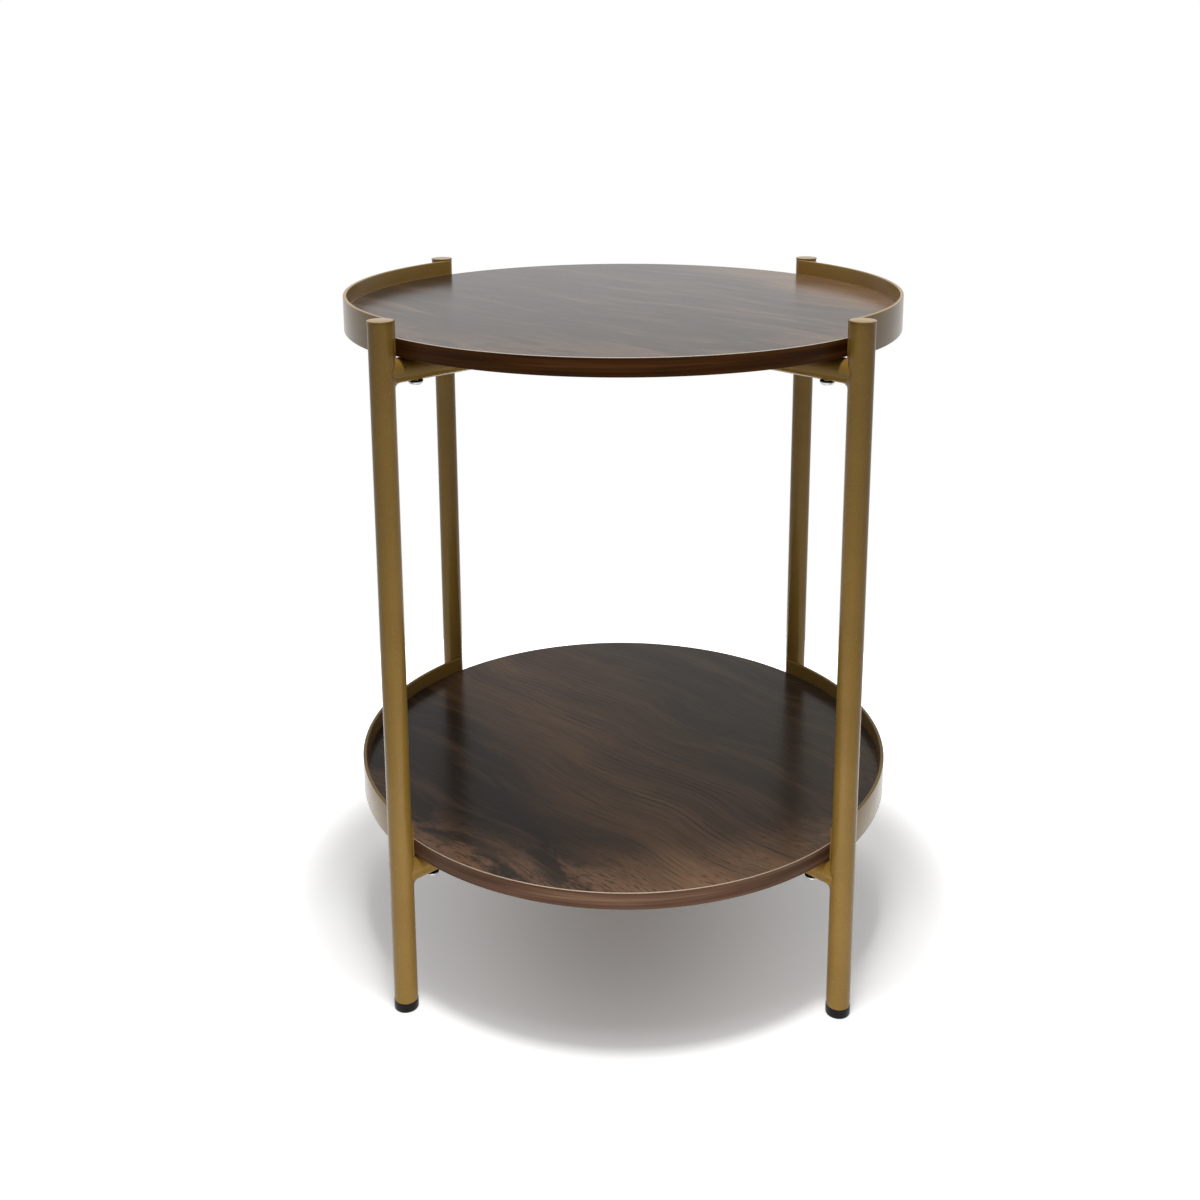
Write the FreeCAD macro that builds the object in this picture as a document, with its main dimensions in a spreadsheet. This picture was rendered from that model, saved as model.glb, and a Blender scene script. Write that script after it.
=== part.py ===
import FreeCAD, Part
import os
import re
import Sketcher

# A tiered side table: two round boards on four tube legs. Each board lies on a pair of crossed tubes
# that are coped and welded to the legs, and a rolled flat rail stands round its left and right sides.
# Millimetres and degrees. +Z is up, -Y is the front, and the origin is on the floor under the middle.

document = FreeCAD.newDocument("TieredSideTable")
sheet = document.addObject("Spreadsheet::Sheet", "Sizes")

driving = {
    # boards
    "board_diameter": (480, "each board, over its edge band"),
    "board_thickness": (15, "each board"),
    "upper_board_top": (581.4, "upper board's face above the floor"),
    "lower_board_top": (152.9, "lower board's face above the floor"),
    # legs
    "leg_diameter": (20, "outside of the leg tube"),
    "leg_wall": (1.2, "wall of the leg tube"),
    "leg_rise": (0.1, "upper end of the leg tube above the upper rail's edge"),
    "leg_bearing": (43.54, "each leg, from the left-to-right axis, about the middle"),
    "cap_thickness": (1.2, "disc that closes the top of a leg"),
    "cap_overhang": (0.4, "disc beyond the leg tube, all round"),
    # feet
    "foot_height": (8.5, "foot below the leg tube"),
    "foot_overhang": (0.3, "foot beyond the leg tube, all round"),
    "stem_length": (16, "foot stem inside the leg"),
    "stem_clearance": (0.05, "foot stem to the leg's bore"),
    # rails
    "rail_thickness": (3, "flat bar"),
    "rail_height": (30, "flat bar"),
    "rail_clearance": (0.3, "board edge to rail"),
    "rail_overrun": (0.5, "rail end beyond the line where it touches the leg"),
    # crossed tubes
    "cross_diameter": (20, "outside of the crossed tubes"),
    "cross_wall": (1.2, "wall of the crossed tubes"),
    "cope_clearance": (0.5, "radius of the coping saw over that of the tube it makes room for"),
    "weld_gap": (0.05, "root gap under every weld"),
    # what holds a board down, and keeps it off the tubes
    "bolt_inset": (17.5, "board's edge to each bolt's axis"),
    "bolt_diameter": (6, "board bolt"),
    "bolt_length": (30, "board bolt under its head"),
    "bolt_hole_clearance": (0.3, "board bolt to its holes in the tube"),
    "thread_clearance": (0.05, "board bolt to its hole in the board"),
    "bolt_hole_spare": (1, "hole in the board beyond the bolt's end"),
    "head_diameter": (12, "bolt head with its washer"),
    "head_height": (3.6, "bolt head with its washer"),
    "pad_thickness": (1.2, "pad between tube and board"),
    "pad_width": (8, "pad, across the tube"),
    "pad_length": (30, "pad, along the tube"),
    "pad_inset": (12, "pad's outer end, from the bolt's axis towards the middle"),
}

# Sizes and places that follow from the driving ones, each written once.
derived = {
    "board_radius": "board_diameter / 2",
    "leg_radius": "leg_diameter / 2",
    "leg_bore": "leg_radius - leg_wall",
    "cross_radius": "cross_diameter / 2",
    "rail_inner": "board_radius + rail_clearance",
    "rail_outer": "rail_inner + rail_thickness",
    "leg_reach": "rail_outer + weld_gap + leg_radius",
    "leg_cope_radius": "leg_radius + cope_clearance",
    "leg_cope_reach": "leg_reach + cope_clearance - weld_gap",
    "middle_cope_radius": "cross_radius + cope_clearance",
    "middle_cope_shift": "cope_clearance - weld_gap",
    "bolt_radius": "bolt_diameter / 2",
    "bolt_reach": "board_radius - bolt_inset",
    "bolt_hole": "bolt_radius + bolt_hole_clearance",
    "leg_top": "upper_board_top - board_thickness - pad_thickness + weld_gap + rail_height + leg_rise",
    "bolt_depth": "bolt_length - cross_diameter - pad_thickness",
    "pad_reach": "bolt_reach - pad_inset - pad_length / 2",
}

# What differs from the upper tier to the lower one.
tiers = {"upper": "upper_board_top", "lower": "lower_board_top"}

# Each leg's side of the table (left -1, right 1), its depth (front -1, back 1), and the way from it
# to the middle.
corners = {
    "front_left": (-1, -1, "leg_bearing"),
    "front_right": (1, -1, "180 - leg_bearing"),
    "back_left": (-1, 1, "0 - leg_bearing"),
    "back_right": (1, 1, "180 + leg_bearing"),
}

for row, (alias, (size, note)) in enumerate(driving.items(), start=1):
    sheet.set(f"A{row}", alias)
    sheet.set(f"B{row}", str(size))
    sheet.set(f"C{row}", note)
    sheet.setAlias(f"B{row}", alias)
document.recompute()


# ---- expressions, sketches and features ----

def formula(text):
    # the sheet's own expression for a formula written with driving and derived names
    def spell(match):
        name = match.group(0)
        if name in derived:
            return "(" + formula(derived[name]) + ")"
        return "Sizes." + name if name in driving else name
    return re.sub(r"[a-z]\w*", spell, text)


def value(text):
    return float(sheet.evalExpression(formula(text)))


def bind(thing, prop, text):
    thing.setExpression(prop, formula(text))


def stand(thing, x="0", y="0", z="0", turn="0", prop="Placement"):
    bind(thing, prop + ".Base.x", x)
    bind(thing, prop + ".Base.y", y)
    bind(thing, prop + ".Base.z", z)
    bind(thing, prop + ".Rotation.Angle", turn)


def new_body(label):
    body = document.addObject("PartDesign::Body", label)
    body.Label = label
    return body


def new_sketch(body, role, name):
    sketch = body.newObject("Sketcher::SketchObject", name)
    origin_plane = next(plane for plane in body.Origin.OriginFeatures if plane.Role == role)
    sketch.AttachmentSupport = (origin_plane, [""])
    sketch.MapMode = "FlatFace"
    return sketch


def dimension(sketch, name, text, kind, *where):
    index = sketch.addConstraint(Sketcher.Constraint(kind, *where, value(text)))
    sketch.renameConstraint(index, name)
    bind(sketch, "Constraints." + name, text)


def place_point(sketch, name, edge, point, x, y):
    origin = (-1, 1)
    dimension(sketch, name + "_x", x, "DistanceX", *origin, edge, point)
    dimension(sketch, name + "_y", y, "DistanceY", *origin, edge, point)


def add_circle(sketch, name, radius, x="0", y="0"):
    middle = FreeCAD.Vector(value(x), value(y), 0)
    circle = Part.Circle(middle, FreeCAD.Vector(0, 0, 1), value(radius))
    edge = sketch.addGeometry(circle, False)
    dimension(sketch, name + "_radius", radius, "Radius", edge)
    place_point(sketch, name, edge, 3, x, y)


def add_outline(sketch, outline):
    spots = [FreeCAD.Vector(value(x), value(y), 0) for x, y in outline]
    edges = []
    for start, end in zip(spots, spots[1:] + spots[:1]):
        edges.append(sketch.addGeometry(Part.LineSegment(start, end), False))
    for number, (x, y) in enumerate(outline):
        sketch.addConstraint(Sketcher.Constraint("Coincident", edges[number - 1], 2, edges[number], 1))
        place_point(sketch, f"corner_{number}", edges[number], 1, x, y)


def pad(body, sketch, length, both_ways=False):
    feature = body.newObject("PartDesign::Pad", "Pad")
    feature.Profile = sketch
    feature.SideType = "Symmetric" if both_ways else "One side"
    bind(feature, "Length", length)
    return feature


def drill_through(body, sketch):
    feature = body.newObject("PartDesign::Pocket", "Through")
    feature.Profile = sketch
    feature.SideType = "Symmetric"
    feature.Type = "ThroughAll"
    return feature


def turned(body, outline, angle="360"):
    # outline is in the XZ plane, and turns about Z, to both sides of that plane
    sketch = new_sketch(body, "XZ_Plane", "Section")
    add_outline(sketch, outline)
    feature = body.newObject("PartDesign::Revolution", "Turned")
    feature.Profile = sketch
    feature.ReferenceAxis = (sketch, ["V_Axis"])
    feature.Midplane = True
    bind(feature, "Angle", angle)
    return feature


def corner_place(corner, reach):
    side, depth, _ = corners[corner]
    return {
        "x": f"{side} * ({reach}) * cos(leg_bearing)",
        "y": f"{depth} * ({reach}) * sin(leg_bearing)",
    }


def one_per_corner(label, source, reach, height):
    # four copies of one solid in one node, each turned to look at the middle
    copies = []
    for corner, (_, _, inward) in corners.items():
        copy = document.addObject("App::Link", f"{label}_{corner}")
        copy.setLink(source)
        copy.LinkTransform = False
        stand(copy, z=height, turn=inward, prop="LinkPlacement", **corner_place(corner, reach))
        copies.append(copy)
    compound = document.addObject("Part::Compound", label)
    compound.Label = label
    compound.Links = copies
    return compound


# ---- heights within a tier, from the face of its board ----

def underside(tier):
    return f"({tiers[tier]} - board_thickness)"


def tube_top(tier):
    return f"({underside(tier)} - pad_thickness)"


def tube_axis(tier):
    return f"({tube_top(tier)} - cross_radius)"


def tube_bottom(tier):
    return f"({tube_top(tier)} - cross_diameter)"


def rail_bottom(tier):
    return f"({tube_top(tier)} + weld_gap)"


# ---- legs, the discs that close them, and feet ----

def make_leg(corner):
    body = new_body("leg_" + corner)
    ring = new_sketch(body, "XY_Plane", "Ring")
    add_circle(ring, "outside", "leg_radius")
    add_circle(ring, "bore", "leg_bore")
    pad(body, ring, "leg_top - foot_height")
    stand(body, z="foot_height", **corner_place(corner, "leg_reach"))
    return body


def make_caps():
    cap = new_body("cap")
    disc = new_sketch(cap, "XY_Plane", "Disc")
    add_circle(disc, "rim", "leg_radius + cap_overhang")
    pad(cap, disc, "cap_thickness")
    return one_per_corner("leg_caps", cap, "leg_reach", "leg_top")


def make_feet():
    # a plug: the foot itself, and a stem that holds it in the leg
    foot = new_body("foot")
    foot_radius = "leg_radius + foot_overhang"
    stem_radius = "leg_bore - stem_clearance"
    stem_top = "foot_height + stem_length"
    turned(foot, [
        ("0", "0"),
        (foot_radius, "0"),
        (foot_radius, "foot_height"),
        (stem_radius, "foot_height"),
        (stem_radius, stem_top),
        ("0", stem_top),
    ])
    return one_per_corner("feet", foot, "leg_reach", "0")


# ---- boards, with a blind hole for each bolt ----

def make_board(tier):
    body = new_body(tier + "_board")
    disc = new_sketch(body, "XY_Plane", "Disc")
    add_circle(disc, "edge", "board_radius")
    pad(body, disc, "board_thickness")
    holes = new_sketch(body, "XY_Plane", "BoltHoles")
    for corner in corners:
        place = corner_place(corner, "bolt_reach")
        add_circle(holes, corner, "bolt_radius + thread_clearance", place["x"], place["y"])
    pocket = body.newObject("PartDesign::Pocket", "BoltPocket")
    pocket.Profile = holes
    pocket.Reversed = True
    bind(pocket, "Length", "bolt_depth + bolt_hole_spare")
    stand(body, z=underside(tier))
    return body


# ---- rails: flat bar rolled on its flat to the curve of the board ----

def make_rail(tier, side, turn):
    body = new_body(f"{tier}_rail_{side}")
    reach_angle = "2 * leg_bearing + 2 * rail_overrun / rail_outer * 180 / pi"
    turned(body, [
        ("rail_inner", "0"),
        ("rail_outer", "0"),
        ("rail_outer", "rail_height"),
        ("rail_inner", "rail_height"),
    ], reach_angle)
    stand(body, z=rail_bottom(tier), turn=turn)
    return body


# ---- crossed tubes, along X in their own frame ----

def tube_blank(body, length, both_ways):
    ring = new_sketch(body, "YZ_Plane", "Ring")
    add_circle(ring, "outside", "cross_radius")
    add_circle(ring, "bore", "cross_radius - cross_wall")
    pad(body, ring, length, both_ways)


def make_full_tube(tier):
    # one tube from the front left leg to the back right leg, coped at both ends
    body = new_body(tier + "_cross_tube_full")
    tube_blank(body, "2 * leg_reach", True)
    cuts = new_sketch(body, "XY_Plane", "CopesAndBoltHoles")
    for end, sign in (("near", "-1"), ("far", "1")):
        add_circle(cuts, end + "_cope", "leg_cope_radius", f"{sign} * leg_cope_reach")
        add_circle(cuts, end + "_bolt", "bolt_hole", f"{sign} * bolt_reach")
    drill_through(body, cuts)
    stand(body, z=tube_axis(tier), turn="leg_bearing")
    return body


def make_half_tube(tier, name, turn):
    # a tube from the full tube to a leg, coped at both ends
    body = new_body(f"{tier}_cross_tube_{name}")
    tube_blank(body, "leg_reach", False)
    cuts = new_sketch(body, "XY_Plane", "LegCopeAndBoltHole")
    add_circle(cuts, "leg_cope", "leg_cope_radius", "leg_cope_reach")
    add_circle(cuts, "bolt", "bolt_hole", "bolt_reach")
    drill_through(body, cuts)
    middle_cope = new_sketch(body, "XZ_Plane", "MiddleCope")
    crossing = FreeCAD.Rotation(FreeCAD.Vector(0, 1, 0), 0)
    middle_cope.AttachmentOffset = FreeCAD.Placement(FreeCAD.Vector(0, 0, 0), crossing)
    bind(middle_cope, "AttachmentOffset.Rotation.Angle", "2 * leg_bearing - 90")
    add_circle(middle_cope, "saw", "middle_cope_radius", "0 - middle_cope_shift")
    drill_through(body, middle_cope)
    stand(body, z=tube_axis(tier), turn=turn)
    return body


# ---- board bolts, from below through a tube, and the pads under a board ----

def make_bolts(tier):
    bolt = new_body(tier + "_bolt")
    turned(bolt, [
        ("0", "0 - head_height"),
        ("head_diameter / 2", "0 - head_height"),
        ("head_diameter / 2", "0"),
        ("bolt_radius", "0"),
        ("bolt_radius", "bolt_length"),
        ("0", "bolt_length"),
    ])
    return one_per_corner(tier + "_board_bolts", bolt, "bolt_reach", tube_bottom(tier))


def make_pads(tier):
    strip = document.addObject("Part::Box", tier + "_pad")
    bind(strip, "Length", "pad_length")
    bind(strip, "Width", "pad_width")
    bind(strip, "Height", "pad_thickness")
    stand(strip, x="0 - pad_length / 2", y="0 - pad_width / 2")
    centred = document.addObject("Part::Compound", tier + "_pad_centred")
    centred.Links = [strip]
    return one_per_corner(tier + "_board_pads", centred, "pad_reach", tube_top(tier))


nodes = [make_leg(corner) for corner in corners]
nodes += [make_caps(), make_feet()]
for tier in tiers:
    nodes.append(make_board(tier))
    nodes += [make_rail(tier, "right", "0"), make_rail(tier, "left", "180")]
    nodes.append(make_full_tube(tier))
    nodes.append(make_half_tube(tier, "front", "0 - leg_bearing"))
    nodes.append(make_half_tube(tier, "back", "180 - leg_bearing"))
    nodes += [make_bolts(tier), make_pads(tier)]

document.recompute()
faults = [thing.Name for thing in document.Objects if {"Invalid", "Error"} & set(thing.State)]
for node in nodes:
    if node.Shape.isNull() or not node.Shape.isValid() or not node.Shape.Solids:
        faults.append(node.Label)
if faults:
    raise RuntimeError("failed: " + ", ".join(faults))

os.makedirs("parts", exist_ok=True)
for node in nodes:
    node.Shape.exportStep(os.path.join("parts", node.Label + ".step"))
print(len(nodes), "nodes written")
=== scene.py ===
import math

import bmesh
import bpy
import numpy as np
from mathutils import Matrix, Vector


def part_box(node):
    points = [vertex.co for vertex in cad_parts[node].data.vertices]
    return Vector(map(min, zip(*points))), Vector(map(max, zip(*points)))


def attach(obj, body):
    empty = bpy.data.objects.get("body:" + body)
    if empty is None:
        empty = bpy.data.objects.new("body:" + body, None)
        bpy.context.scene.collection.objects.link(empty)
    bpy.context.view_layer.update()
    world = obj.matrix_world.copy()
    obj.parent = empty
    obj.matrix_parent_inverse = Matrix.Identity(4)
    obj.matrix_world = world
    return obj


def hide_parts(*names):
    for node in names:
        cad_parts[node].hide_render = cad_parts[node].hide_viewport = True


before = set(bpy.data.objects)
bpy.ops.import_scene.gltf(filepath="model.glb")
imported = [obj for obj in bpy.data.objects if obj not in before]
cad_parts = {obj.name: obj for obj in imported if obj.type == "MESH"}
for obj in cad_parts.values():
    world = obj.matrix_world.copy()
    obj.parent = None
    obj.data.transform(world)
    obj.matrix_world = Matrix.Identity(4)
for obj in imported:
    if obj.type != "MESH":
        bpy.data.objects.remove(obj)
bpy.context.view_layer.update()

# A tiered side table: two round walnut-look boards on four gold tube legs, each board on crossed
# tubes, with a rolled flat rail round its left and right sides. The floor is z = 0, the front is -Y.

mm = 0.001
tiers = ("upper", "lower")
# on which side of the middle each leg stands, in x and in y
corners = {"front_left": (-1, -1), "front_right": (1, -1), "back_left": (-1, 1), "back_right": (1, 1)}
print("frame loaded:", len(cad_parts), "nodes")


# Meshes from grids of points

mergeMm = 0.002          # points closer than this become one, which closes poles and seams
cornerPoints = 6         # points round each rounded corner of a profile


def makePiece(name, points, faces, material, creaseDeg=40.0, uv=None):
    # points (n, 3) in metres and faces as lists of indices become one closed, smooth-shaded piece
    mesh = bpy.data.meshes.new(name)
    mesh.from_pydata(points.tolist(), [], faces)
    if uv is not None:
        corner = np.zeros(len(mesh.loops), np.int32)
        mesh.loops.foreach_get("vertex_index", corner)
        mesh.uv_layers.new(name="along").data.foreach_set("uv", uv[corner].astype(np.float32).ravel())
    tidy = bmesh.new()
    tidy.from_mesh(mesh)
    bmesh.ops.remove_doubles(tidy, verts=tidy.verts, dist=mergeMm * mm)
    bmesh.ops.recalc_face_normals(tidy, faces=tidy.faces)
    tidy.to_mesh(mesh)
    tidy.free()
    mesh.shade_smooth()
    mesh.set_sharp_from_angle(angle=math.radians(creaseDeg))
    mesh.materials.append(material)
    piece = bpy.data.objects.new(name, mesh)
    bpy.context.scene.collection.objects.link(piece)
    return piece


def gridFaces(rows, columns, closeRows, closeColumns):
    # quads of a grid whose point (i, j) has index i * columns + j; either way may close on itself
    i, j = np.meshgrid(np.arange(rows if closeRows else rows - 1),
                       np.arange(columns if closeColumns else columns - 1), indexing="ij")
    iNext, jNext = (i + 1) % rows, (j + 1) % columns
    quads = np.stack([i * columns + j, iNext * columns + j, iNext * columns + jNext, i * columns + jNext], -1)
    return quads.reshape(-1, 4).tolist()


def cappedSweep(sections):
    # closed sections, an array (rows, count, 3), joined each to the next, with a flat face at both ends
    rows, count = sections.shape[:2]
    faces = gridFaces(rows, count, False, True)
    faces += [list(range(count)), list(range((rows - 1) * count, rows * count))]
    return sections.reshape(-1, 3), faces


def joined(parts):
    # several (points, faces) pairs as one
    points, faces, count = [], [], 0
    for partPoints, partFaces in parts:
        points.append(partPoints)
        faces += [[index + count for index in face] for face in partFaces]
        count += len(partPoints)
    return np.concatenate(points), faces


def fullTurn(steps):
    return np.linspace(0, 2 * math.pi, steps, endpoint=False)


def unit(vector):
    return vector / np.linalg.norm(vector)


def turned(profile, centre, steps, closeProfile):
    # profile (k, 2) of radius and height, carried round a vertical axis:
    # (x, y, z) = centre + (r cos a, r sin a, h)
    angle = fullTurn(steps)[:, None]
    r, h = profile[:, 0][None, :], profile[:, 1][None, :]
    grid = np.stack([r * np.cos(angle), r * np.sin(angle), h + 0 * angle], -1) + np.array([*centre, 0.0])
    return grid.reshape(-1, 3), gridFaces(steps, len(profile), True, closeProfile)


def roundedCorner(middle, radius, startDeg, endDeg):
    # arc of a profile's corner: middle + radius (cos t, sin t)
    t = np.radians(np.linspace(startDeg, endDeg, cornerPoints))
    return np.stack([middle[0] + radius * np.cos(t), middle[1] + radius * np.sin(t)], -1)


def roundedBar(low, high, radius):
    # closed section of a flat bar with rounded edges, as (radius, height) points: a quarter circle at
    # each corner of the box from low to high
    return np.concatenate([
        roundedCorner((low[0] + radius, low[1] + radius), radius, 180, 270),
        roundedCorner((high[0] - radius, low[1] + radius), radius, 270, 360),
        roundedCorner((high[0] - radius, high[1] - radius), radius, 0, 90),
        roundedCorner((low[0] + radius, high[1] - radius), radius, 90, 180),
    ])


# Materials

def linearColour(hexCode):
    # sRGB hex to the linear values that a shader takes
    srgb = np.array([int(hexCode[k:k + 2], 16) for k in (1, 3, 5)]) / 255
    linear = np.where(srgb <= 0.04045, srgb / 12.92, ((srgb + 0.055) / 1.055) ** 2.4)
    return (*linear.tolist(), 1.0)


def addNode(tree, kind, inputs=None, **settings):
    # one node: inputs maps a socket to a value or to the output that feeds it
    node = tree.nodes.new(kind)
    for key, setting in settings.items():
        setattr(node, key, setting)
    for key, feed in (inputs or {}).items():
        if isinstance(feed, bpy.types.NodeSocket):
            tree.links.new(feed, node.inputs[key])
        else:
            node.inputs[key].default_value = feed
    return node


def newMaterial(name):
    material = bpy.data.materials.new(name)
    material.use_nodes = True
    material.node_tree.nodes.clear()
    return material, material.node_tree


def setRamp(node, stops):
    # stops are (position, hex colour) pairs
    ramp = node.color_ramp
    while len(ramp.elements) < len(stops):
        ramp.elements.new(0.5)
    for element, (position, hexCode) in zip(ramp.elements, stops):
        element.position = position
        element.color = linearColour(hexCode)
    return node


# Gold powder coat: mica flake in a clear resin, sprayed and baked on steel. It gives a satin
# brown gold with a pale sheen where the surface turns away, a faint orange peel and fine flake.
goldCoat = {
    "colour": "#917132",
    "flakeColour": "#a98b50",
    "shadeColour": "#83642a",
    "edgeTint": "#d8c8a8",        # what the flake keeps of white light that grazes it
    "metallic": 0.1,
    "specular": 0.0,              # the flake lies under the resin, which alone has the gloss
    "roughness": (0.39, 0.51),    # least and most
    "clearWeight": 0.95,
    "clearIor": 1.30,
    "clearRoughness": 0.20,
    # size in mm, detail and roughness of the noise
    "cloud": (60, 3.0, 0.5),      # thick and thin places of the spray
    "flake": (0.9, 2.0, 0.6),     # real flake is 0.05 mm, drawn coarser so that it shows
    "peel": (2.4, 1.0, 0.4),      # from crest to crest of the orange peel
    # the noise where the colour starts to change, where it has changed, and by how much
    "cloudShare": (0.35, 0.65, 0.55),
    "flakeShare": (0.55, 0.75, 0.6),
    "peelMm": 0.05,               # height of the peel
}


def goldPowderCoat():
    material, tree = newMaterial("gold_powder_coat")
    place = addNode(tree, "ShaderNodeTexCoord").outputs["Object"]
    noise = {}
    for kind in ("cloud", "flake", "peel"):
        sizeMm, detail, rough = goldCoat[kind]
        noise[kind] = addNode(tree, "ShaderNodeTexNoise", {
            "Vector": place, "Scale": 1 / (sizeMm * mm), "Detail": detail, "Roughness": rough}).outputs["Fac"]
    colour = linearColour(goldCoat["colour"])
    for kind, tint in (("cloud", "shadeColour"), ("flake", "flakeColour")):
        low, high, most = goldCoat[kind + "Share"]
        shown = addNode(tree, "ShaderNodeMapRange", {"Value": noise[kind], "From Min": low, "From Max": high,
                                                     "To Min": 0.0, "To Max": most})
        colour = addNode(tree, "ShaderNodeMix", {"Factor": shown.outputs["Result"], "A": colour,
                                                 "B": linearColour(goldCoat[tint])},
                         data_type="RGBA").outputs["Result"]
    least, most = goldCoat["roughness"]
    rough = addNode(tree, "ShaderNodeMapRange", {"Value": noise["cloud"], "To Min": least, "To Max": most})
    bump = addNode(tree, "ShaderNodeBump", {"Height": noise["peel"], "Strength": 0.12,
                                            "Distance": goldCoat["peelMm"] * mm})
    shader = addNode(tree, "ShaderNodeBsdfPrincipled", {
        "Base Color": colour, "Metallic": goldCoat["metallic"], "Roughness": rough.outputs["Result"],
        "Specular IOR Level": goldCoat["specular"], "Specular Tint": linearColour(goldCoat["edgeTint"]),
        "Coat Weight": goldCoat["clearWeight"], "Coat IOR": goldCoat["clearIor"],
        "Coat Roughness": goldCoat["clearRoughness"], "Normal": bump.outputs["Normal"]})
    addNode(tree, "ShaderNodeOutputMaterial", {"Surface": shader.outputs["BSDF"]})
    return material


# Walnut-look melamine: a printed paper of wide rustic planks under a satin overlay. It gives dark
# boards with slanting grain, dark and pale streaks, a warmer plank with figured lines, tan patches
# along the front rim that are painted light, where the lamp falls on the rim, and a soft mirror at
# low angles.
walnutPrint = {
    "grainTurn": 42.0,       # degrees from the grain to the left-to-right axis
    "plankTurn": 63.0,       # and from the planks' edges
    "coolColour": "#544738",
    "warmColour": "#745840",
    "warmLightColour": "#89694c",
    "darkColour": "#35281f",
    "paleColour": "#8d6f54",
    "poreColour": "#1e1610",
    # painted light along the front rim: the tan of its patches, and the dark lines in them
    "litRimColour": "#7b5c45",
    "rimLineColour": "#2c1f16",
    # across the planks, in mm from the middle: where each one's colour stands
    "planks": ((-240, "darkColour"), (-128, "darkColour"), (-84, "warmColour"), (-30, "warmLightColour"),
               (10, "warmColour"), (30, "warmColour"), (92, "coolColour"), (240, "coolColour")),
    "swayMm": 26,            # how far the planks' edges and the grain wander
    "swayLengthMm": 153.85,  # over this length
    # patterns along the grain: size along and across it in mm, detail, roughness and layer of the
    # noise, and the noise where the pattern starts and where it is whole
    "darkStreaks": ((230, 34), 4.0, 0.55, 0.0, 0.44, 0.66),
    "paleStreaks": ((150, 18), 4.0, 0.55, 5.0, 0.50, 0.70),
    "fibre": ((50, 1.8), 4.0, 0.55, 0.0, 0.46, 0.66),
    "figure": ((75, 22), 3.0, 0.55, 0.0, 0.46, 0.66),        # where the figured lines show
    # the next two break up the painted light along the front rim into blotches and dark lines along the grain
    "patches": ((52, 26), 7.0, 0.66, 3.0, 0.45, 0.55),
    "rimLines": ((10, 2.0), 4.0, 0.6, 0.0, 0.51, 0.62),
    "ringMm": 6.5,           # from line to line of the figured grain
    "ringDrawn": 0.16,       # a length along the grain counts this much for its lines
    "ringLines": (0.78, 0.99),   # the wave where a line starts, and where it is full
    "ringNearMm": 33.25,     # the lines are whole up to this far from the warm plank's middle,
    "ringSpreadMm": 95,      # and none are left from here out
    "litRimFromMm": 165,       # painted light patches start this far from the middle,
    "litRimToMm": 215,         # and are whole from here out,
    "litRimNarrow": 0.88,      # with the sides counted as this much nearer
    "litRimFrontMm": 60,       # and start at the middle line, to be whole this far in front of it
    "roughness": (0.16, 0.26),
    "specular": 0.08,
    "poreMm": 0.05,          # depth of the embossed fibre
}

# where each board was cut from the printed sheet, how strong each pattern is on that stretch, and
# how strong the painted light along the front rim is. The upper board's darker stretch and fainter
# pale streaks are painted shade, making it darker than the lower board as the light fell
boardPrint = {
    "upper": {"shift": (0.31, -0.27, 0.0), "darkStreaks": 0.55, "paleStreaks": 0.28, "fibre": 0.36,
              "figure": 0.85, "patches": 0.80, "rimLines": 0.75, "litRim": 0.45},
    "lower": {"shift": (0.0, 0.0, 0.0), "darkStreaks": 0.55, "paleStreaks": 0.40, "fibre": 0.36,
              "figure": 0.85, "patches": 0.80, "rimLines": 0.75, "litRim": 1.0},
}


def grainPattern(tree, grain, kind, strength):
    # noise stretched along the grain, and how much of the pattern shows where that noise is high
    (longMm, wideMm), detail, rough, layer, low, high = walnutPrint[kind]
    stretched = addNode(tree, "ShaderNodeVectorMath", {
        0: grain, 1: (1 / (longMm * mm), 1 / (wideMm * mm), 1.0), 2: (0, 0, layer)}, operation="MULTIPLY_ADD")
    noise = addNode(tree, "ShaderNodeTexNoise", {"Vector": stretched.outputs["Vector"], "Scale": 1.0,
                                                 "Detail": detail, "Roughness": rough}).outputs["Fac"]
    shown = addNode(tree, "ShaderNodeMapRange", {"Value": noise, "From Min": low, "From Max": high,
                                                 "To Min": 0.0, "To Max": strength}).outputs["Result"]
    return noise, shown


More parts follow.
